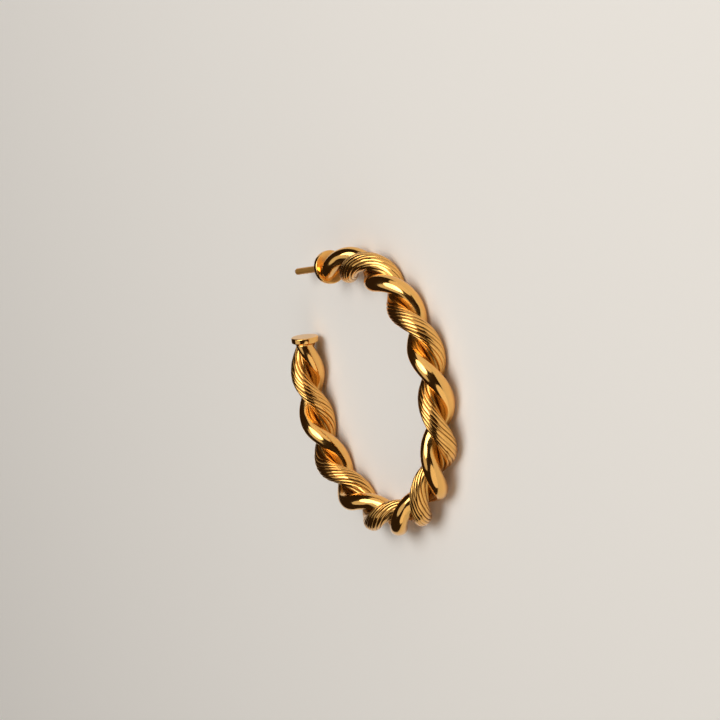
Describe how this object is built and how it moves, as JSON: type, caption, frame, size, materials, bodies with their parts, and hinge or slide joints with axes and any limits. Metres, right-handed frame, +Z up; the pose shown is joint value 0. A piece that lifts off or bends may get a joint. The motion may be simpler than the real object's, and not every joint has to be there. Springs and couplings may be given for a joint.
{
  "type": "twisted hoop earring",
  "caption": "Open hoop earring of a smooth and a reeded gold-plated wire twisted into a rope, with flat round end caps and a straight ear post.",
  "frame": {"origin": "centre of the hoop's ring, on the surface that the hoop lies on", "axes": "-X along the ear post, from its cap to its tip; +Z up, square to the plane of the hoop; the post end is at the hoop's +Y side"},
  "size_m": [0.0398, 0.0398, 0.005],
  "materials": {
    "polished_wire": "yellow gold plate, polished bright",
    "reeded_wire": "yellow gold plate, polished on the reeds",
    "polished_fittings": "yellow gold plate, polished bright"
  },
  "bodies": {
    "root": {"smooth_strand": "polished_wire", "reeded_strand": "reeded_wire", "post_cap": "polished_fittings", "end_cap": "polished_fittings"}
  },
  "joints": []
}
